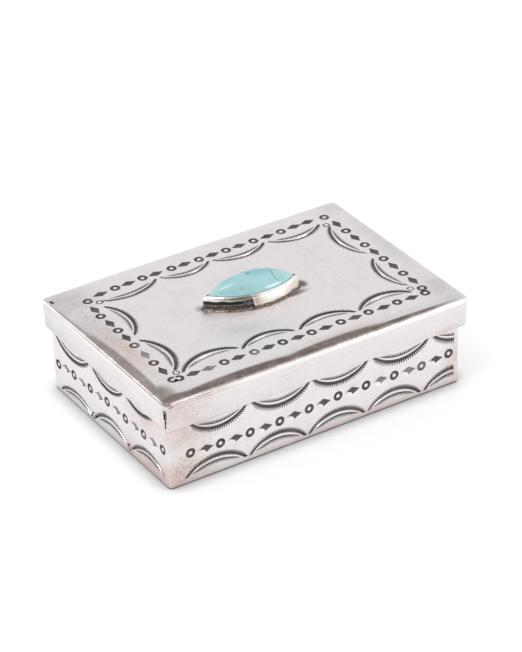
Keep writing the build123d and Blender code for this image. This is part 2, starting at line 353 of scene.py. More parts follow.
# Fine silver strip, rubbed down with a burnisher: bright, wavy, dark left of its seam and at its foot
# the dark left of the seam is a painted dark reflection with patina in it, and its seam edge and left tip
# carry painted highlights
def bezelSilver(look):
    made, tree, shader = newMaterial("bezelSilver")
    along = axes(inSetting(tree))
    streaks = grain(tree, 0.5, 4, 0.6, 0.5, (0.25, 0.25, 1.6))
    patchy = ramp(grain(tree, 0.8, 4, 0.65, 0.4), 0.36, 0.62)
    wobble = ramp(streaks, 0.2, 0.8, -0.3 * mm, 0.3 * mm, "LINEAR")
    lifted = combine("ADD", along[2], wobble, False)
    fromSeam = combine("ADD", along[0], times(along[2], look["seamLean"]), False)
    seam = look["seamAt"]

    def between(socket, low, high, soft=0.12):  # 1 between two places in mm, 0 outside them
        return times(grade(socket, low - soft, low + soft), grade(socket, high - soft, high + soft, 1, 0))

    left = grade(fromSeam, seam - 0.1, seam + 0.1, 1, 0)
    upper = grade(along[2], 0.7, 1)
    cast = times(grade(fromSeam, seam + 0.3, seam + 2.8, 1, 0), between(fromSeam, seam + 0.15, seam + 4))
    coolPlace = times(between(fromSeam, seam - 2.7, seam - 0.2, 0.6), between(along[2], 1.45, 2.5))
    colour = tint(ramp(grain(tree, 1.2, 4, 0.6), 0.4, 0.75), look["bright"], look["dull"])
    # the layers left of the seam paint a dark reflection, with patina in it
    layers = [("warm", cast, ramp(patchy, 0, 1, 0.5, 1)),
              ("lip", grade(along[0], -8.5, -3, 0.1, 0.85), left),
              ("patinaAndReflection", between(lifted, -1, 2.42), left),
              ("streak", times(between(lifted, 1.32, 1.58), ramp(patchy, 0, 1, 0.45, 1)), left),
              ("low", times(between(lifted, 0.1, 1.05), patchy), left),
              ("cool", times(coolPlace, patchy), left),
              ("foot", grade(lifted, 0.3, 0.85, 0.9, 0), 1),
              ("bright", between(fromSeam, seam, seam + 0.28, 0.08), upper),  # painted highlight on the seam's own edge
              ("bright", grade(along[0], -12.05, -11.8, 0.9, 0), upper)]  # painted highlight on the left tip
    for name, mask, gate in layers:
        colour = tint(times(mask, gate), colour, look[name])
    surface(shader, colour, 1, look["roughness"], [(grain(tree, 2.2, 2), 0.05), (streaks, 0.012)])
    return made


turquoiseLook = {
    "aqua": "#AEE6EC", "blue": "#78CFF2", "pale": "#D0F6F2", "vein": "#5F8486", "ochre": "#BDB08A",
    "spot": "#2F6FA8", "rim": "#5C6B69", "roughness": 0.16, "ior": 1.61,
    # x, y, reach along and across, strength, in the setting's own millimetres
    "bluePatches": [(1.6, 0.2, 5.5, 2.0, 0.85), (-5.4, 0.5, 3.0, 1.2, 0.7), (3.5, 3, 5, 2, 0.5)],
    "palePatches": [(8.4, -1.0, 3.6, 3.4, 0.9), (-9.6, -0.6, 3.2, 2.6, 0.55), (2, -3, 4, 1.2, 0.3)],
    "spotPatches": [(-0.75, -0.25, 1.0, 0.85, 0.9), (0.3, 0.35, 1.0, 0.4, 0.5)],
    "ochrePatches": [(-3.4, -2.8, 1.0, 0.4, 0.5), (1.2, 0.6, 1.5, 0.28, 0.6)],
    "veinAt": 4.58, "veinBend": 2.8, "veinWobble": 0.15,
}


# Polished turquoise: aqua with bluer and paler clouds, one thin vein, a blue spot and an ochre fleck
def turquoise(look):
    made, tree, shader = newMaterial("turquoise")
    place = inSetting(tree)
    along = axes(place)
    ragged = ramp(grain(tree, 1.6, 4, 0.65), 0.3, 0.7, 0.45, 1)

    def near(x, y, reachX, reachY, strength):  # a soft patch in the setting's own coordinates, in mm
        away = vector("SUBTRACT", place, (x * mm, y * mm, 0))
        shrunk = vector("MULTIPLY", away, (1 / (reachX * mm), 1 / (reachY * mm), 0))
        return ramp(vector("LENGTH", shrunk), 0, 1, strength, 0)

    cloud = ramp(grain(tree, 4, 4, 0.6, 0.8), 0.35, 0.65, 0, 0.4)
    colour = tint(cloud, look["aqua"], look["pale"])
    for name in ("blue", "pale", "spot", "ochre"):
        patch = most([near(*values) for values in look[name + "Patches"]])
        colour = tint(times(patch, ragged), colour, look[name])
    # the vein runs across the stone and swings aside near the front
    swing = combine("POWER", ramp(along[1], -3 * mm, -1 * mm, 1, 0, "LINEAR"), 3)
    low, high = ((look["veinAt"] + side * look["veinWobble"]) * mm for side in (-1, 1))
    path = combine("ADD", times(swing, look["veinBend"] * mm),
                   ramp(grain(tree, 1.4, 2), 0.2, 0.8, low, high, "LINEAR"), False)
    away = combine("ABSOLUTE", combine("SUBTRACT", along[0], path, False), 0, False)
    ends = times(grade(along[1], -2.75, -2.2), grade(along[1], 0.6, 2, 1, 0))
    colour = tint(times(grade(away, 0.05, 0.2, 0.85, 0), ends), colour, look["vein"])
    lip = settingShape["wall"] + settingShape["lipRise"]
    lipShade = grade(along[2], lip + 0.02, lip + 0.2, 0.85, 0)  # painted shade under the bezel's edge
    colour = tint(times(lipShade, ragged), colour, look["rim"])
    shader.inputs["IOR"].default_value = look["ior"]
    surface(shader, colour, 0, look["roughness"], [(grain(tree, 3, 2), 0.01)])
    return made


silver = sterlingSilver(silverLook)
inside, stampDark, stampWorn, stampBright, solder, cardPad = (plainSurface(name) for name in plainLooks)
bezelMetal = bezelSilver(bezelLook)
turquoiseStone = turquoise(turquoiseLook)
print("materials made")


def edgesOf(verts):
    return list({e for v in verts for e in v.link_edges})


def roundedLoop(bm, length, width, radius, height, steps=8):  # a circle whose quarters go out to the corners
    count = 4 * steps
    made = bmesh.ops.create_circle(bm, segments=count, radius=radius / cos(pi / count))["verts"]
    bmesh.ops.rotate(bm, verts=made, cent=(0, 0, 0), matrix=Matrix.Rotation(pi / count, 3, "Z"))
    for v in made:
        v.co.x += copysign(length / 2 - radius, v.co.x)
        v.co.y += copysign(width / 2 - radius, v.co.y)
        v.co.z = height
    return edgesOf(made)


hair = 0.01  # two loops at one height would be bridged crosswise, so the second one lies a hair off
rounding = 0.3  # the middle point of a softened edge lies this share of it in from both faces


def bridge(bm, loops, closed=True, marks=None):  # faces between each loop and the next
    pairs = list(zip(loops, loops[1:] + loops[:1] if closed else loops[1:]))
    for number, (one, other) in enumerate(pairs):
        for face in bmesh.ops.bridge_loops(bm, edges=one + other)["faces"]:
            face.material_index = marks[number] if marks else 0


def cutIntoCells(bm, size, cell):  # cells smaller than a stamp, so that no face gets a hole in it
    for axis in range(3):
        way = Vector(1 if k == axis else 0 for k in range(3))
        count = int(size[axis] / cell)
        for k in range(-count, count + 1):
            bmesh.ops.bisect_plane(bm, geom=bm.verts[:] + bm.edges[:] + bm.faces[:], dist=0.0001,
                                   plane_co=way * k * cell, plane_no=way)


def toMesh(bm, name, materials):
    bmesh.ops.remove_doubles(bm, verts=bm.verts, dist=0.0005)
    bmesh.ops.recalc_face_normals(bm, faces=bm.faces)
    mesh = bpy.data.meshes.new(name)
    bm.to_mesh(mesh)
    bm.free()
    for material in materials:
        mesh.materials.append(material)
    return mesh


def newObject(name, data):
    made = bpy.data.objects.new(name, data)
    scene.collection.objects.link(made)
    return made


def cut(mesh, dies, materials):  # the mesh with the dies sunk into it, each recess in its die's material
    objects = [newObject("trial", m) for m in (mesh, toMesh(dies, "dies", materials))]
    tool = objects[0].modifiers.new("sink", "BOOLEAN")
    tool.operation = "DIFFERENCE"
    tool.solver = "MANIFOLD"
    tool.object = objects[1]
    tool.material_mode = "TRANSFER"
    evaluated = objects[0].evaluated_get(bpy.context.evaluated_depsgraph_get())
    result = bpy.data.meshes.new_from_object(evaluated)
    for o in objects:
        bpy.data.objects.remove(o)
    result.name = mesh.name
    print(mesh.name, "struck,", len(mesh.polygons), "faces before and", len(result.polygons), "after")
    return result


def finishPiece(mesh, name, body, nodes, sharp=32):  # into metres, shaded, and riding with its body
    mesh.transform(Matrix.Scale(mm, 4))
    mesh.shade_smooth()
    mesh.set_sharp_from_angle(angle=radians(sharp))
    piece = newObject(name, mesh)
    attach(piece, body)
    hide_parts(*nodes)


stampTool = {"depth": 0.2, "lift": 0.15, "draft": 0.1, "ringRadius": 1.2, "smallRadius": 0.88, "island": 0.45,
             "smallIsland": 0.5, "wipedFrom": 0.35,
             "diamondLength": 4.0, "diamondWidth": 2.05, "diamondFloor": 0.55,
             # the half-sun: an outer crescent with its teeth outward and an inner one with its teeth inward
             "sunChord": 15.3, "sunRise": 4.0, "bodyRise": 3.68, "bandChord": 13.8, "bandRise": 2.82,
             "innerChord": 11.7, "innerBase": 0.58, "innerRise": 1.72, "innerFloorChord": 11.3,
             "innerFloorRise": 1.38, "trimShare": 0.02, "ridgeDraft": 0.12, "outerTeeth": 29,
             "outerReach": 0.85, "shortReach": 0.55, "innerTeeth": 20, "innerReach": 0.7,
             "toothFoot": 0.85, "taper": (0.3, 6), "combDraft": (0.02, 0.03), "ridgeUpper": 0.4,
             # where the crescent narrows, the slopes of comb and ridge keep to these shares of its width
             "narrow": (0.2, 0.4),
             # how far a blow was turned at random, in radians, and how much deeper or shallower it went
             "slack": 0.06, "ringSlack": 0.7, "force": (0.85, 1.15)}
dark, worn, bright = 0, 1, 2  # the dies' material slots
stampMaterials = [stampDark, stampWorn, stampBright]


def ringDie(outer, island):
    bm = bmesh.new()
    lift, depth, draft = stampTool["lift"], stampTool["depth"], stampTool["draft"]
    rows = ((outer + draft * lift / depth, lift), (outer - draft, -depth), (island + draft, -depth),
            (island - draft * lift / depth, lift))
    loops = []
    for radius, height in rows:
        ring = bmesh.ops.create_circle(bm, segments=20, radius=radius)["verts"]
        bmesh.ops.translate(bm, verts=ring, vec=(0, 0, height))
        loops.append(edgesOf(ring))
    bridge(bm, loops, True, (dark, dark, worn, dark))
    for face in bm.faces:
        middle = face.calc_center_median()
        if middle.x > stampTool["wipedFrom"] * outer and middle.y < 0:  # one side was wiped clean
            face.material_index = worn
    return toMesh(bm, "ringDie", [])


def diamondDie(flank):
    bm = bmesh.new()
    lift, depth, half = stampTool["lift"], stampTool["depth"], stampTool["diamondLength"] / 2
    foot = half * stampTool["diamondFloor"]
    bmesh.ops.create_cone(bm, cap_ends=True, segments=4, radius1=foot, depth=lift + depth,
                          radius2=half + (half - foot) * lift / depth)
    bmesh.ops.translate(bm, verts=bm.verts, vec=(0, 0, (lift - depth) / 2))
    bmesh.ops.scale(bm, verts=bm.verts, vec=(1, stampTool["diamondWidth"] / stampTool["diamondLength"], 1))
    bmesh.ops.recalc_face_normals(bm, faces=bm.faces)
    for face in bm.faces:
        lit = face.normal.x < -0.1 and face.normal.y < -0.1  # the side that faces up and right, once sunk
        # the lit flank takes the bright material: a painted highlight
        face.material_index = flank if lit else dark
    return toMesh(bm, "diamondDie", [])


def arc(bm, chord, rise, base, count, trim):  # a chain of vertices on an arc over a chord, left to right
    radius = (chord * chord / 4 + rise * rise) / (2 * rise)
    middle = Vector((0, base + rise - radius, 0))
    sweep = 2 * asin(chord / 2 / radius) * (1 - 2 * trim)
    start = Matrix.Rotation(sweep / 2, 3, "Z") @ Vector((0, radius, 0)) + middle
    before = set(bm.verts)
    first = bmesh.ops.create_vert(bm, co=start)["vert"]
    bmesh.ops.spin(bm, geom=first, cent=middle, axis=(0, 0, -1), angle=sweep, steps=count)
    return sorted((v for v in bm.verts if v not in before), key=lambda v: v.co.x)


def crescent(bm, outerArc, innerArc, teeth, toothReach, toothOutward):
    # the arcs are (chord, rise, base); the toothed side has comb teeth, the other slopes to the ridge
    lift, depth, draft = stampTool["lift"], stampTool["depth"], stampTool["ridgeDraft"]
    blunt, climb = stampTool["taper"]
    topDraft, footDraft = stampTool["combDraft"]
    combShare, ridgeShare = stampTool["narrow"]
    count = 4 * teeth + 3
    sides = [arc(bm, *shape, count, stampTool["trimShare"]) for shape in (outerArc, innerArc)]
    across = [b.co - a.co for a, b in zip(*sides)]
    comb, ridge = (sides[0], sides[1]) if toothOutward else (sides[1], sides[0])
    inward = 1 if toothOutward else -1
    rows = {"combTop": [], "combFoot": [], "ridgeFoot": [], "ridgeTop": []}
    for number, (a, b) in enumerate(zip(comb, ridge)):
        step = across[number] * inward  # from the comb side to the ridge side
        wide = step.length
        run = step / wide
        share = number / count
        taper = min(1, blunt + climb * share, blunt + climb * (1 - share))
        reach = toothReach * taper if number % 4 in (1, 2) else 0
        slope = min(draft, ridgeShare * wide)
        foot = min(footDraft, combShare * wide)
        rows["combTop"].append(a.co - run * (reach + topDraft))
        rows["combFoot"].append(a.co - run * reach * stampTool["toothFoot"] + run * foot)
        rows["ridgeFoot"].append(b.co - run * slope)
        rows["ridgeTop"].append(b.co + run * slope * lift / depth * stampTool["ridgeUpper"])
    bmesh.ops.delete(bm, geom=list(comb) + list(ridge), context="VERTS")
    loops = []
    for name, points in rows.items():
        height = lift if name.endswith("Top") else -depth
        chain = [bm.verts.new((p.x, p.y, height)) for p in points]
        loops.append([bm.edges.new(pair) for pair in zip(chain, chain[1:])])
    # the ridge's slope takes the bright material: rubbed bright, and a painted highlight
    bridge(bm, loops, True, (dark, dark, bright, dark))
    bmesh.ops.holes_fill(bm, edges=[e for e in bm.edges if e.is_boundary], sides=4)


def sunDie(reach):
    tool = stampTool
    bm = bmesh.new()
    crescent(bm, (tool["sunChord"], tool["bodyRise"], 0), (tool["bandChord"], tool["bandRise"], 0),
             tool["outerTeeth"], reach, True)
    crescent(bm, (tool["innerChord"], tool["innerRise"], tool["innerBase"]),
             (tool["innerFloorChord"], tool["innerFloorRise"], tool["innerBase"]),
             tool["innerTeeth"], tool["innerReach"], False)
    return toMesh(bm, "sunDie", [])


# r ring, o small ring, d diamond with a painted highlight on one flank, b one without, s half-sun, t half-sun
# with longer teeth
dieShapes = {"r": ringDie(stampTool["ringRadius"], stampTool["island"]),
             "o": ringDie(stampTool["smallRadius"], stampTool["smallIsland"]),
             "d": diamondDie(bright), "b": diamondDie(dark),
             "s": sunDie(stampTool["shortReach"]), "t": sunDie(stampTool["outerReach"])}
hand = Random(7)  # the small unevenness of stamping by hand
print("stamp dies made")


def strike(bm, kind, face, x, y, turn=0, wide=1, tall=1):  # one blow: the die's copy set at x, y on a face
    firstVert, firstFace = len(bm.verts), len(bm.faces)
    bm.from_mesh(dieShapes[kind.lower()])
    bm.verts.ensure_lookup_table()
    bm.faces.ensure_lookup_table()
    place = face @ Matrix.Translation((x, y, 0)) @ Matrix.Rotation(turn, 4, "Z")
    place = place @ Matrix.Diagonal((wide, tall, hand.uniform(*stampTool["force"]), 1))
    bmesh.ops.transform(bm, matrix=place, verts=bm.verts[firstVert:])
    if kind.isupper():  # a worn blow has no blackening left on its floor
        for made in bm.faces[firstFace:]:
            made.material_index = max(made.material_index, worn)


def strikeRow(bm, kinds, face, places, turn=0):  # rings and diamonds; the rings were set down at any turn
    for kind, (x, y) in zip(kinds, places):
        slack = stampTool["ringSlack" if kind in "rR" else "slack"]
        strike(bm, kind, face, x, y, turn + hand.uniform(-slack, slack))


def strikeSun(bm, face, tipA, tipB, crown, kind="s"):  # a half-sun by its two tips and the top of its bow
    a, b, c = Vector(tipA), Vector(tipB), Vector(crown)
    if (b - a).cross(c - a) < 0:
        a, b = b, a
    chord = b - a
    rise = abs(chord.cross(c - a)) / chord.length
    middle = (a + b) / 2
    strike(bm, kind, face, middle.x, middle.y, atan2(chord.y, chord.x), chord.length / stampTool["sunChord"],
           rise / stampTool["sunRise"])


footLift = 0.45  # the stamps' heights and the camera are measured from this far above the underside


def wallFace(turn, reach):  # x to the right and y up, as seen from outside
    place = Matrix.Rotation(turn, 4, "Z") @ Matrix.Translation((0, -reach, footLift))
    return place @ Matrix.Rotation(pi / 2, 4, "X")


faces = {"front": wallFace(0, wallSize.y / 2), "right": wallFace(pi / 2, wallSize.x / 2),
         "back": wallFace(pi, wallSize.y / 2), "left": wallFace(-pi / 2, wallSize.x / 2),
         "lid": Matrix.Translation((-0.65, -1.04, lidTop))}  # the lid's border sits a little off its middle

# the stamps' places, read from the picture: the dies' letters, in capitals where worn, and x, y in mm
wallStamps = {
    "front": ("rdrdrdrdrdrdrDrDRdr",
        [(-32.7, 7.2), (-28.9, 6.9), (-25.15, 6.85), (-21.35, 6.7), (-17.6, 6.75), (-13.8, 6.65),
         (-9.95, 6.75), (-6.2, 6.95), (-2.3, 7.15), (1.4, 7.35), (5.3, 7.65), (9.05, 7.65), (12.75, 7.7),
         (16.55, 7.6), (20.3, 7.55), (24.1, 7.4), (27.7, 7.35), (31.5, 7.65), (35.15, 7.95)]),
    "left": ("rDrDrDrDrDrDroo",
        [(-22.65, 6.75), (-19.15, 7.35), (-15.6, 7.55), (-12, 7.45), (-8.3, 7.85), (-4.45, 7.85),
         (-0.75, 8.35), (3.25, 8.25), (7.15, 8.15), (11.15, 8.35), (14.9, 8.25), (18.8, 8.45),
         (22.95, 8.75), (-7.3, 1.25), (8.5, 1.45)]),
}
# half-suns: two tips and the top of the bow
wallSuns = {
    "front": [((-34.55, 0.9), (-18.25, 0.65), (-26.35, 4.85)),
              ((-18.25, 0.65), (-2.85, 0.35), (-10.6, 4.7)), ((-2.85, 0.35), (12.75, 0.55), (4.9, 4.6)),
              ((12.9, 0.6), (27.8, 0.25), (20.3, 4.55)), ((28, 0.35), (43.4, 0.3), (35.7, 4.55)),
              ((-32.7, 14.5), (-18.1, 14.35), (-25.65, 10.75)),
              ((-17.2, 14.45), (-1.8, 14.25), (-9.6, 10.4)), ((-1.6, 14.45), (13.5, 14.2), (6.1, 10.65)),
              ((14.3, 14.4), (29.85, 14.15), (21.85, 10.45)), ((30.45, 14.35), (45.8, 14.1), (38.1, 10.5))],
    "left": [((-23.45, 14.55), (-7.7, 14.85), (-15.6, 10.85)),
             ((-7.3, 14.85), (6.65, 14.35), (-0.35, 11.25)), ((5.9, 16.3), (21, 16.3), (13.4, 12.5)),
             ((-22.35, 0.45), (-7.7, 0.55), (-14.9, 3.55)), ((-7, 0.85), (7.8, 1.25), (0.85, 4.85)),
             ((9.3, 1.45), (23.55, 1.65), (16.6, 5.05))],
}

# the half-suns of the lower and upper row: left end, level, width and height; uneven is the reach of chance
evenRow = {"pitch": 3.85, "level": 7.7, "sunPitch": 15.4,
           "suns": ((0, 1.0, 15.2, 3.9), (0.3, 14.6, 15.0, -3.8)),
           "unevenX": 0.2, "unevenY": 0.3, "unevenSun": 0.25}


def evenFace(length, row):  # a hidden side, stamped like the others with its own small unevenness
    pitch, sunPitch = row["pitch"], row["sunPitch"]

    def chance(name):
        return hand.uniform(-row[name], row[name])

    count = 2 * round(length / 2 / pitch) - 1
    kinds = "".join("rd"[k % 2] for k in range(count))
    places = [((k - (count - 1) / 2) * pitch + chance("unevenX"), row["level"] + chance("unevenY"))
              for k in range(count)]
    sunCount = int(length // sunPitch)
    suns = []
    for k in range(sunCount):
        start = (k - sunCount / 2) * sunPitch + chance("unevenSun")
        for left, level, width, tall in row["suns"]:
            first = start + left
            suns.append(((first, level), (first + width, level), (first + width / 2, level + tall)))
    return (kinds, places), suns


for side, length in (("back", wallSize.x), ("right", wallSize.y)):
    wallStamps[side], wallSuns[side] = evenFace(length, evenRow)

lidStamps = {  # how the dies are turned, their letters and their places before the border's shift on the lid
    "back": (0, "rbrbrbrbrbrbrbrbbr",
        [(-30.85, 20.25), (-27.1, 21.2), (-23.15, 21.4), (-19.75, 21.4), (-15.9, 21.6), (-12.5, 21.55),
         (-8.3, 21.55), (-4.95, 21.5), (-1.1, 21.4), (2.45, 21.45), (6.1, 21.35), (9.6, 21.4),
         (13.55, 21.4), (17.25, 21.35), (21.05, 21.35), (24.7, 21.55), (28.45, 21.6), (32.95, 21.2)]),
    "front": (0, "rrbBrbRbrbrbrbrbrbr",
        [(-32.35, -18.75), (-30.95, -19.05), (-27.45, -19.15), (-23.65, -19.3), (-19.65, -19.1),
         (-16.15, -19.2), (-12.15, -19.35), (-8.55, -19.35), (-4.95, -19.45), (-1.2, -19.7), (2.4, -19.7),
         (6, -19.85), (10, -19.75), (13.65, -19.95), (17.3, -19.8), (21.2, -20), (24.9, -19.9),
         (28.65, -20.15), (32.3, -20.15)]),
    "left": (pi / 2, "brbrbRBrb",
        [(-31.5, 16), (-31.85, 12.75), (-31.8, 8.8), (-31.8, 5.25), (-31.85, 1.6), (-32, -2.15),
         (-32.1, -6.8), (-32.2, -10.65), (-32.3, -14.6)]),
    "right": (pi / 2, "brbrbrbrbr",
        [(33.55, 16.95), (33.5, 13), (33.45, 9.25), (33.45, 5.2), (33.4, 1.35), (33.35, -2.45),
         (33.3, -6.4), (33.2, -10.35), (33.15, -14.2), (32.9, -18.05)]),
    "corners": (0, "OOOO",
        [(-28.95, 18.3), (-30.3, -16.8), (31.3, 17.85), (30.7, -16.8)]),
}
lidSuns = [((-28.55, 18.6), (-13.2, 19.85), (-21, 15.85)), ((-12.9, 19.85), (0.65, 19.75), (-6.15, 16.35)),
           ((0.85, 19.55), (15.5, 19.65), (8.1, 16.05)), ((15.7, 19.45), (30.5, 19.35), (23.05, 15.7)),
           ((-29.5, -17.85), (-13.7, -16.1), (-21.5, -12.8)),
           ((-14, -17.1), (0.15, -17.15), (-6.85, -13.4)), ((0.45, -17.5), (15.45, -18.35), (8, -14.05)),
           ((15.7, -18.35), (30.4, -18.45), (23.05, -14.15)), ((-29.4, 16.3), (-30.1, 1.1), (-26.25, 8.7)),
           ((-30.35, -0.5), (-30.55, -16.5), (-26.35, -8.55)), ((31.75, 17.25), (31.8, 1.5), (28.3, 9.4)),
           ((31.6, -0.65), (31.25, -15.5), (28.05, -8.1))]


def nick(bm, low, high, uneven=0.0, cuts=0):  # a small chewed slot between two corners
    before = len(bm.verts)
    made = bmesh.ops.create_cube(bm, size=1)["verts"]
    middle, size = (Vector(low) + Vector(high)) / 2, Vector(high) - Vector(low)
    bmesh.ops.transform(bm, verts=made, matrix=Matrix.Translation(middle) @ Matrix.Diagonal((*size, 1)))
    if cuts:
        bmesh.ops.subdivide_edges(bm, edges=edgesOf(made), cuts=cuts, use_grid_fill=True)
        bm.verts.ensure_lookup_table()
        for v in bm.verts[before:]:
            v.co += Vector(hand.uniform(-uneven, uneven) for k in range(3))


# a half-sun that runs past the bend or the floor's seam keeps the share "squeezed" of what lies beyond
boxWallShape = {"radius": 1.01, "softEdge": 0.12, "sheet": 0.81, "cell": 1.5, "bend": 1.6, "floorSeam": 0.2,
                "squeezed": 0.02}


def makeWall(shape):
    bm = bmesh.new()
    low, high, soft, sheet = wallLow.z, wallHigh.z, shape["softEdge"], shape["sheet"]
    near = rounding * soft
    rows = [(0, low), (0, high - soft), (near, high - near), (soft, high), (sheet - soft, high - hair),
            (sheet - near, high - near), (sheet, high - soft), (sheet, low + hair)]
    loops = [roundedLoop(bm, wallSize.x - 2 * inset, wallSize.y - 2 * inset, shape["radius"] - inset, height)
             for inset, height in rows]
    bridge(bm, loops, True, (0, 0, 0, 0, 0, 0, 1, 0))
    cutIntoCells(bm, wallSize, shape["cell"])
    wall = toMesh(bm, "boxWall", [silver, inside])
    dies = bmesh.new()
    for side, (kinds, places) in wallStamps.items():
        strikeRow(dies, kinds, faces[side], places)
    seam = wallLow.z + shape["floorSeam"]
    for side, suns in wallSuns.items():
        face = faces[side]
        before = len(dies.verts)
        for tipA, tipB, crown in suns:  # the upper ones were struck harder, on all sides but the left
            harder = crown[1] < tipA[1] and side != "left"
            strikeSun(dies, face, tipA, tipB, crown, "t" if harder else "s")
        dies.verts.ensure_lookup_table()
        sideways = face.inverted()
        reach = (wallSize.x if side in ("front", "back") else wallSize.y) / 2 - shape["bend"]
        for v in dies.verts[before:]:
            local = sideways @ v.co
            if abs(local.x) > reach:
                local.x = copysign(reach + shape["squeezed"] * (abs(local.x) - reach), local.x)
                v.co = face @ local
            v.co.z = max(v.co.z, seam + shape["squeezed"] * (v.co.z - seam))
    seamLow, seamHigh = span("wall_seam_solder")
    nick(dies, (seamLow.x - 1, seamLow.y, seamLow.z - 1), (seamHigh.x + 1, seamHigh.y, wallHigh.z + 1))
    finishPiece(cut(wall, dies, stampMaterials), "boxWall", "box", ["box_wall"])


makeWall(boxWallShape)
print("wall stamped")

floorShape = {"radius": 1.01, "softEdge": 0.4}


def makeFloor(shape):
    low, high = span("box_floor")
    bm = bmesh.new()
    soft = shape["softEdge"]
    angles = [radians(degrees) for degrees in (0, 22, 45, 68, 90)]
    rows = [(soft * (1 - sin(a)), low.z + soft * (1 - cos(a))) for a in angles]
    loops = [roundedLoop(bm, wallSize.x - 2 * inset, wallSize.y - 2 * inset, shape["radius"] - inset, height)
             for inset, height in rows + [(0, high.z)]]
    bridge(bm, loops, False)
    for edges in (loops[0], loops[-1]):
        bmesh.ops.contextual_create(bm, geom=edges)
    bm.faces.ensure_lookup_table()
    bm.faces[-1].material_index = 1
    finishPiece(toMesh(bm, "boxFloor", [silver, inside]), "boxFloor", "box", ["box_floor"])


makeFloor(floorShape)
print("floor made")


def skewed(v):
    return Vector((v.x, v.y + lidSkew["slope"] * v.x + lidSkew["shift"], v.z))


lidShape = {"radius": 1.04, "roll": 4.0, "rise": 0.75, "edge": 0.6, "rings": 9, "cell": 1.45,
            "bevel": (0.1, 0.34), "drop": (0.07, 0.34), "mouth": (73.78, 48.38),
            "hollow": (70.18, 45.88, 0.54),
            # the nick in the back left corner, with heights from the lid's top
            "nick": ((-38.35, 23.3, -0.8), (-37.7, 24.7, 0.3)),
            # how the rings crowd towards the edge, how fast the crown rises, the innermost ring's radius
            "crowding": 1.2, "crownCurve": 2.2, "innerRadius": 0.02,
            # the worn back left corner sags: its place, reach and depth; and the whole plate is a little wavy
            "sag": ((-37, 24), 18, 0.5), "wave": 0.05, "waveLength": 17}


def makeLidPlate(shape):
    roll, rings, low = shape["roll"], shape["rings"], plateLow.z
    half = (lidSize.x / 2, lidSize.y / 2)
    cells = [2 * rings + round(2 * (h - roll) / shape["cell"]) for h in half]
    bm = bmesh.new()
    bmesh.ops.create_grid(bm, x_segments=cells[0], y_segments=cells[1], size=1)

    def inset(step):  # how far in from the edge a grid line lies
        first, second = shape["bevel"]
        return second + (roll - second) * ((step - 1) / (rings - 1)) ** shape["crowding"] if step else first

    for v in bm.verts:
        steps, sides = [], []
        for axis in (0, 1):
            index = round((v.co[axis] + 1) / 2 * cells[axis])
            steps.append(min(index, cells[axis] - index))
            sides.append(copysign(1, index - cells[axis] / 2))
        deep = [inset(s) if s < rings else roll + (half[k] - roll) * (s - rings) / (cells[k] / 2 - rings)
                for k, s in enumerate(steps)]
        ring = min(deep[0], deep[1], roll)
        corner = shape["radius"] * (1 - ring / roll) + shape["innerRadius"]
        along = max(deep) - ring
        if along < corner and ring < roll:  # bend the ring round the corner
            lean = pi / 4 * (1 - along / corner)
            near, far = ring + corner * (1 - cos(lean)), ring + corner * (1 - sin(lean))
            deep = [near, far] if deep[0] <= deep[1] else [far, near]
        share = min(1, ring / roll)
        height = low + shape["edge"] + shape["rise"] * (1 - (1 - share) ** shape["crownCurve"])
        if min(steps) == 0:
            height = low + shape["edge"] - shape["drop"][0]
        v.co = Vector((sides[0] * (half[0] - deep[0]), sides[1] * (half[1] - deep[1]), height))
    last = [e for e in bm.edges if e.is_boundary]
    size = (lidSize.x - 2 * shape["bevel"][0], lidSize.y - 2 * shape["bevel"][0])
    outside = (lidSize.x, lidSize.y)
    rows = ((*outside, shape["edge"] - shape["drop"][1], 0), (*outside, 0, 0), (*shape["mouth"], 0, 1),
            (*shape["hollow"], 1))
    for length, width, height, mark in rows:  # the edge, the side, the step in and the hollow
        made = bmesh.ops.extrude_edge_only(bm, edges=last)["geom"]
        for v in (g for g in made if isinstance(g, bmesh.types.BMVert)):
            v.co = Vector((v.co.x * length / size[0], v.co.y * width / size[1], low + height))
        for f in (g for g in made if isinstance(g, bmesh.types.BMFace)):
            f.material_index = mark
        last = [g for g in made if isinstance(g, bmesh.types.BMEdge) and g.is_boundary]
        size = (length, width)
    for f in bmesh.ops.contextual_create(bm, geom=last)["faces"]:
        f.material_index = 1
    for v in bm.verts:
        v.co = skewed(v.co)
    plate = toMesh(bm, "lidPlate", [silver, inside])

    dies = bmesh.new()
    for turn, kinds, places in lidStamps.values():
        strikeRow(dies, kinds, faces["lid"], places, turn)
    for tipA, tipB, crown in lidSuns:
        strikeSun(dies, faces["lid"], tipA, tipB, crown)
    nick(dies, *((x, y, lidTop + z) for x, y, z in shape["nick"]), 0.1, 2)
    mesh = cut(plate, dies, stampMaterials)
    (sagX, sagY), sagReach, sagDeep = shape["sag"]
    waveLength = shape["waveLength"]
    for v in mesh.vertices:
        share = (v.co.z - low) / (lidTop - low)
        far = min(1, hypot(v.co.x - sagX, v.co.y - sagY) / sagReach)
        wave = noise.noise(Vector((v.co.x / waveLength, v.co.y / waveLength, 3.1))) * shape["wave"]
        v.co.z += share * (wave - sagDeep * (1 - far) ** 2 * (1 + 2 * far))
    finishPiece(mesh, "lidPlate", "lid", ["lid_plate"])


makeLidPlate(lidShape)
print("lid stamped")

# the crack along the seam, in pieces: bottom, top and half its width, pitted this deep into the rim
rimShape = {"outsideRadius": 1.04, "sheet": 0.64, "lean": 0.2, "softEdge": 0.14, "seamY": -26.1,
            "crack": ((16.4, 18.7, 0.3), (18.5, 20.6, 0.5), (20.4, 21, 0.35)), "crackDeep": 0.36,
            # from the corners of the CAD's seam solder to those of the pitted one
            "solderInset": ((0.3, -0.06, 0.05), (-0.02, 0.06, -0.05))}


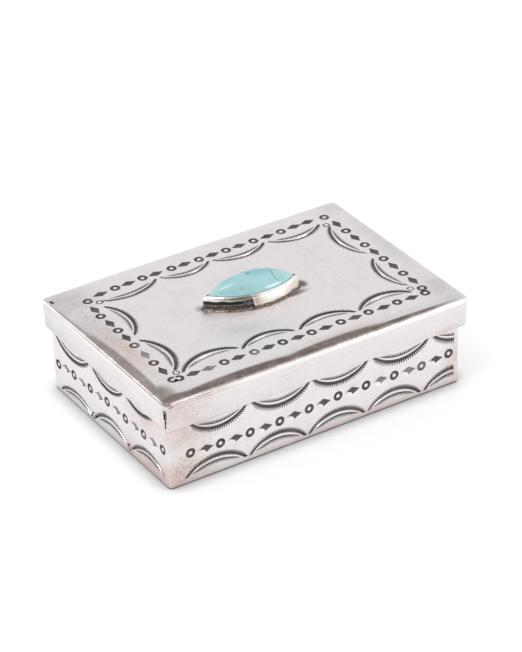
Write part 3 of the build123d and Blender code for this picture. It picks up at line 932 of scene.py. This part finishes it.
def makeRim(shape):
    bm = bmesh.new()
    low, high, soft, sheet = rimLow.z, rimHigh.z, shape["softEdge"], shape["sheet"]
    near = rounding * soft
    rows = [(0, low + soft), (0, high), (sheet, high - hair), (sheet, low + soft),
            (sheet - soft + near, low + near), (sheet - soft, low), (soft, low + hair), (near, low + near)]
    loops = []
    for inset, height in rows:
        drawnIn = 2 * (inset + shape["lean"] * (high - height) / (high - low))
        radius = shape["outsideRadius"] - inset
        loops.append(roundedLoop(bm, lidSize.x - drawnIn, lidSize.y - drawnIn, radius, height))
    bridge(bm, loops, True, (0, 1, 1, 0, 0, 0, 0, 0))
    for v in bm.verts:
        v.co = skewed(v.co)
    rim = toMesh(bm, "lidRim", [silver, inside])
    dies = bmesh.new()
    side, seamY = -lidSize.x / 2, shape["seamY"]
    for start, end, wide in shape["crack"]:
        nick(dies, (side - 1, seamY - wide, start), (side + shape["crackDeep"], seamY + wide, end), 0.06, 5)
    finishPiece(cut(rim, dies, [solder]), "lidRim", "lid", ["lid_rim"])


makeRim(rimShape)


def makeRimSeam(shape):  # the solder left at the bottom of the seam
    bm = bmesh.new()
    corners = [corner + Vector(inset) for corner, inset in zip(span("rim_seam_solder"), shape["solderInset"])]
    nick(bm, *corners, 0.025, 6)
    mesh = toMesh(bm, "rimSeamSolder", [solder])
    finishPiece(mesh, "rimSeamSolder", "lid", ["rim_seam_solder"])


makeRimSeam(rimShape)
print("rim made")


def marquiseLoop(bm, inset, height, scale=1.0, steps=28, rounder=0.0):
    # two long arcs and two small tip arcs, each spun about its own centre, drawn in by inset
    shape = settingShape
    halfPoint, halfWide = shape["pointLength"] / 2, shape["width"] / 2
    radius = (halfPoint ** 2 + halfWide ** 2) / (2 * halfWide)
    drop = radius - halfWide  # the long arcs' centres lie this far across
    tip = shape["tip"] + rounder
    tipX = sqrt((radius - tip) ** 2 - drop ** 2)
    edge = atan2(drop, tipX)
    small = max(tip - inset, 0.05)
    arcs = ((Vector((0, -drop, 0)), radius - inset, edge, pi - 2 * edge, steps),
            (Vector((-tipX, 0, 0)), small, pi - edge, 2 * edge, 6))
    before = set(bm.verts)
    for turn in (0, pi):
        around = Matrix.Rotation(turn, 3, "Z")
        for centre, arcRadius, start, sweep, count in arcs:
            point = around @ (centre + Vector((cos(start), sin(start), 0)) * arcRadius)
            first = bmesh.ops.create_vert(bm, co=point)["vert"]
            bmesh.ops.spin(bm, geom=first, cent=around @ centre, axis=(0, 0, 1), angle=sweep, steps=count)
    bmesh.ops.remove_doubles(bm, verts=[v for v in bm.verts if v not in before], dist=0.02)
    made = [v for v in bm.verts if v not in before]
    for v in made:
        v.co = Vector((v.co.x * scale, v.co.y * scale, height))
    return edgesOf(made)


def finishSetting(bm, mesh, piece, material, node, sharp):  # turned and moved to its place on the lid
    place = Matrix.Translation((settingPlace["x"], settingPlace["y"], lidTop))
    place = place @ Matrix.Rotation(radians(settingPlace["turn"]), 4, "Z")
    bmesh.ops.transform(bm, matrix=place, verts=bm.verts)
    finishPiece(toMesh(bm, mesh, [material]), piece, "lid", [node], sharp)


def makeStone(shape):
    bm = bmesh.new()
    low = shape["stoneBottom"]
    top = low + shape["girdle"]
    lean = shape["wallLean"] / shape["wall"]
    inset = shape["strip"] + shape["stoneFit"] + lean * top
    loops = [marquiseLoop(bm, inset - lean * shape["girdle"], low), marquiseLoop(bm, inset, top)]
    for k in range(1, shape["domeSteps"]):
        angle = pi / 2 * k / shape["domeSteps"]
        loops.append(marquiseLoop(bm, inset, top + shape["dome"] * sin(angle), cos(angle), 28,
                                  shape["tipRounding"] * sin(angle)))
    bridge(bm, loops, False)
    bmesh.ops.contextual_create(bm, geom=loops[0])
    crown = bmesh.ops.contextual_create(bm, geom=loops[-1])["faces"]
    bmesh.ops.poke(bm, faces=crown)
    finishSetting(bm, "stone", "turquoiseStone", turquoiseStone, "stone", 40)


def makeBezel(shape):
    bm = bmesh.new()
    wall, strip, top = shape["wall"], shape["strip"], shape["wallLean"]
    lip, over = wall + shape["lipRise"], top + shape["lipLean"]
    rows = [(0, 0), (top * 0.8, wall - 0.45), *((top + x, wall + z) for x, z in shape["lipBend"]),
            *((over + x, lip + z) for x, z in shape["lipEdge"]), (top + strip, wall), (strip, 0)]
    bridge(bm, [marquiseLoop(bm, inset, height) for inset, height in rows])
    finishSetting(bm, "bezel", "bezel", bezelMetal, "bezel", 45)


def makeBezelSolder(shape):
    bm = bmesh.new()
    leg, wave = shape["solderLeg"], shape["solderWave"]
    runX, runY, runZ = shape["solderRun"]
    rows = [(0.05, 0), (-leg, 0), (-leg * 0.85, 0.05), (-leg * 0.4, 0.16), (-0.03, leg), (0.05, leg + hair)]
    bridge(bm, [marquiseLoop(bm, inset, height, 1, 60) for inset, height in rows])
    for v in bm.verts:  # the solder ran out unevenly
        out = noise.noise(Vector((v.co.x / wave, v.co.y / wave, 7.7)))
        v.co.x *= 1 + runX * out
        v.co.y *= 1 + runY * out
        v.co.z = max(0, v.co.z * (1 + runZ * out))
    finishSetting(bm, "bezelSolder", "bezelSolder", solder, "bezel_solder", 60)


for make in (makeStone, makeBezel, makeBezelSolder):
    make(settingShape)
print("setting made")

for name, material in (("floor_solder", solder), ("wall_seam_solder", solder), ("lid_solder", solder),
                       ("stone_bedding", cardPad)):
    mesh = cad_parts[name].data
    mesh.materials.clear()
    mesh.materials.append(material)

stageLook = {"size": 6.0, "sunk": 0.00003, "floor": "#C8C8C8", "glow": 0.62, "mirrored": 0.9,
             "diffuseSky": 0.55, "contact": 0.0045, "contactShade": (0.3, 0.95)}


def seenBright(tree, mirrored):  # 1 to the eye, mirrored to the metal, 0 for light that spreads
    ray = add(tree, "LightPath").outputs
    seen = combine("ADD", ray["Is Camera Ray"], ray["Is Transmission Ray"])
    seen = combine("ADD", seen, times(ray["Is Glossy Ray"], mirrored))
    return combine("SUBTRACT", seen, ray["Diffuse Depth"])


def makeStage(look):
    bm = bmesh.new()
    bmesh.ops.create_grid(bm, x_segments=1, y_segments=1, size=look["size"] / 2)
    bmesh.ops.translate(bm, verts=bm.verts, vec=(0, 0, -look["sunk"]))
    # white paper that glows a little to the eye and to the metal, so that it stays white and keeps its shadow
    paper = bpy.data.materials.new("paper")
    tree = emptyTree(paper)
    matt = add(tree, "BsdfDiffuse", inputs={"Color": paint(look["floor"])})
    near = add(tree, "AmbientOcclusion", {"samples": 8}, {"Distance": look["contact"]}).outputs["AO"]
    strength = times(times(seenBright(tree, look["mirrored"]), look["glow"]),
                     ramp(near, *look["contactShade"], 0, 1, "LINEAR"))
    glow = add(tree, "Emission", inputs={"Color": (1, 1, 1, 1)}, links={"Strength": strength})
    both = add(tree, "AddShader", links={0: matt.outputs[0], 1: glow.outputs[0]})
    add(tree, "OutputMaterial", links={"Surface": both.outputs[0]})
    floor = newObject("paperFloor", toMesh(bm, "paperFloor", [paper]))


makeStage(stageLook)

# dark places in the room that the silver mirrors: direction, reach in degrees, darkness
roomShades = [((0.449, 0.7255, 0.5217), 42, 0.13), ((0.449, 0.33, 0.83), 14, 0.35),
              ((0.05, 0.72, 0.69), 12, 0.3), ((-0.25, -0.80, 0.52), 22, 0.8)]


def makeRoom(shades, look):
    scene.world = bpy.data.worlds.new("room")
    tree = emptyTree(scene.world)
    way = add(tree, "TexCoord").outputs["Generated"]
    patches = []
    for direction, reach, darkness in shades:
        aim = vector("DOT_PRODUCT", way, Vector(direction).normalized())
        patches.append(ramp(aim, cos(radians(reach * 1.5)), cos(radians(reach * 0.4)), 0, darkness))
    shade = times(most(patches), add(tree, "LightPath").outputs["Is Glossy Ray"])
    level = ramp(seenBright(tree, 1), 0, 1, look["diffuseSky"], 1, "LINEAR")
    level = combine("SUBTRACT", level, shade)
    back = add(tree, "Background", inputs={"Color": (1, 1, 1, 1)}, links={"Strength": level})
    add(tree, "OutputWorld", links={"Surface": back.outputs[0]})


makeRoom(roomShades, stageLook)

# soft boxes: name, direction from the object, distance, width and height in metres, watts
softBoxes = [("leftBackBox", (-0.69, 0.72, 0.10), 0.7, 0.14, 0.30, 1.2),
             ("frontRightBox", (0.61, -0.79, 0.14), 0.7, 0.30, 0.14, 0.9),
             ("overheadBox", (-0.37, -0.16, 0.91), 0.9, 0.14, 0.36, 1.5)]


def makeLamps(boxes):
    for name, direction, distance, width, height, watts in boxes:
        light = bpy.data.lights.new(name, "AREA")
        light.shape = "RECTANGLE"
        light.size, light.size_y, light.energy = width, height, watts
        way = Vector(direction).normalized()
        turned = way.to_track_quat("Z", "Y").to_matrix().to_4x4()
        newObject(name, light).matrix_world = Matrix.Translation(way * distance) @ turned


makeLamps(softBoxes)
print("stage and lamps set")

# the photograph's camera, fitted to the corners of the box: angles in degrees, lengths in metres
cameraSetup = {"azimuth": -31.762, "elevation": 31.444, "roll": -1.706, "distance": 0.65679,
               "right": 0.001047, "up": 0.01261, "focalPixels": 2900, "imageHeight": 652, "sensor": 36}


def makeCamera(setup):
    az, el, roll = (radians(setup[name]) for name in ("azimuth", "elevation", "roll"))
    back = Vector((sin(az) * cos(el), -cos(az) * cos(el), sin(el)))
    level = Vector((cos(az), sin(az), 0))
    up = back.cross(level)
    right = level * cos(roll) + up * sin(roll)
    top = up * cos(roll) - level * sin(roll)
    data = bpy.data.cameras.new("camera")
    data.sensor_fit = "AUTO"
    data.sensor_width = setup["sensor"]
    data.lens = setup["focalPixels"] / setup["imageHeight"] * setup["sensor"]
    scene.camera = newObject("camera", data)
    stand = back * setup["distance"] + right * setup["right"] + top * setup["up"]
    stand += Vector((0, 0, footLift * mm))
    scene.camera.matrix_world = Matrix.Translation(stand) @ Matrix((right, top, back)).transposed().to_4x4()


makeCamera(cameraSetup)
scene.view_settings.view_transform = "Standard"
print("done")
